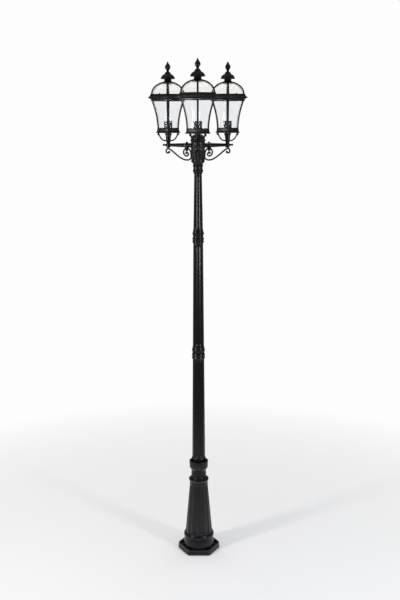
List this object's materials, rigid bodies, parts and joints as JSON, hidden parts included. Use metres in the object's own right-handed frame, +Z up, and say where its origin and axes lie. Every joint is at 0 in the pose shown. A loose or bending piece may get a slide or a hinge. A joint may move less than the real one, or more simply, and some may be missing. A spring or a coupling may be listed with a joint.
{
  "type": "street lamp post",
  "caption": "Classic fluted street lamp post with a hexagonal base, scrolled arms spread evenly around a leafed capital, and glazed hexagonal lanterns with domed roofs.",
  "frame": {"origin": "on the post's axis, at the ground face of the base", "axes": "+Z up along the post, one arm and lantern towards -Y, the other two towards +X+Y and -X+Y"},
  "size_m": [0.517, 0.5065, 2.6951],
  "materials": {
    "black_coat": "satin black powder coat on cast aluminium",
    "clear_glass": "clear, faintly grey",
    "black_plastic": "matt black moulded insulation",
    "brass": "plain brass contact shell"
  },
  "bodies": {
    "post": {"base_casting": "black_coat", "terminal_block": "black_plastic", "lock_ring": "black_coat", "lower_pole": "black_coat", "lower_joint_collar": "black_coat", "middle_pole": "black_coat", "upper_joint_collar": "black_coat", "upper_pole": "black_coat", "capital_neck": "black_coat", "capital_sleeve": "black_coat", "capital_cap": "black_coat", "arm_front": "black_coat", "arm_collar_front": "black_coat", "scroll_bracket_front": "black_coat", "lantern_stem_front": "black_coat", "lantern_braces_front": "black_coat", "lantern_pan_front": "black_coat", "lamp_holder_front": "black_plastic", "contact_shell_front": "brass", "body_frame_front": "black_coat", "body_glass_front": "clear_glass", "arm_right": "black_coat", "arm_collar_right": "black_coat", "scroll_bracket_right": "black_coat", "lantern_stem_right": "black_coat", "lantern_braces_right": "black_coat", "lantern_pan_right": "black_coat", "lamp_holder_right": "black_plastic", "contact_shell_right": "brass", "body_frame_right": "black_coat", "body_glass_right": "clear_glass", "arm_left": "black_coat", "arm_collar_left": "black_coat", "scroll_bracket_left": "black_coat", "lantern_stem_left": "black_coat", "lantern_braces_left": "black_coat", "lantern_pan_left": "black_coat", "lamp_holder_left": "black_plastic", "contact_shell_left": "brass", "body_frame_left": "black_coat", "body_glass_left": "clear_glass"},
    "roof_front": {"roof_frame_front": "black_coat", "roof_glass_front": "clear_glass", "vent_cap_front": "black_coat", "roof_screw_a_front": "black_coat", "roof_screw_b_front": "black_coat"},
    "finial_front": {"finial_front": "black_coat"},
    "roof_right": {"roof_frame_right": "black_coat", "roof_glass_right": "clear_glass", "vent_cap_right": "black_coat", "roof_screw_a_right": "black_coat", "roof_screw_b_right": "black_coat"},
    "finial_right": {"finial_right": "black_coat"},
    "roof_left": {"roof_frame_left": "black_coat", "roof_glass_left": "clear_glass", "vent_cap_left": "black_coat", "roof_screw_a_left": "black_coat", "roof_screw_b_left": "black_coat"},
    "finial_left": {"finial_left": "black_coat"}
  },
  "joints": [
    {"name": "roof_lift_front", "type": "slide", "parent": "post", "child": "roof_front", "axis": [0, 0, 1], "range_m": [0, 0.15]},
    {"name": "finial_turn_front", "type": "hinge", "parent": "roof_front", "child": "finial_front", "pos_m": [0, -0.181, 2.63538], "axis": [0, 0, 1], "continuous": true},
    {"name": "roof_lift_right", "type": "slide", "parent": "post", "child": "roof_right", "axis": [0, 0, 1], "range_m": [0, 0.15]},
    {"name": "finial_turn_right", "type": "hinge", "parent": "roof_right", "child": "finial_right", "pos_m": [0.15675, 0.0905, 2.63538], "axis": [0, 0, 1], "continuous": true},
    {"name": "roof_lift_left", "type": "slide", "parent": "post", "child": "roof_left", "axis": [0, 0, 1], "range_m": [0, 0.15]},
    {"name": "finial_turn_left", "type": "hinge", "parent": "roof_left", "child": "finial_left", "pos_m": [-0.15675, 0.0905, 2.63538], "axis": [0, 0, 1], "continuous": true}
  ]
}
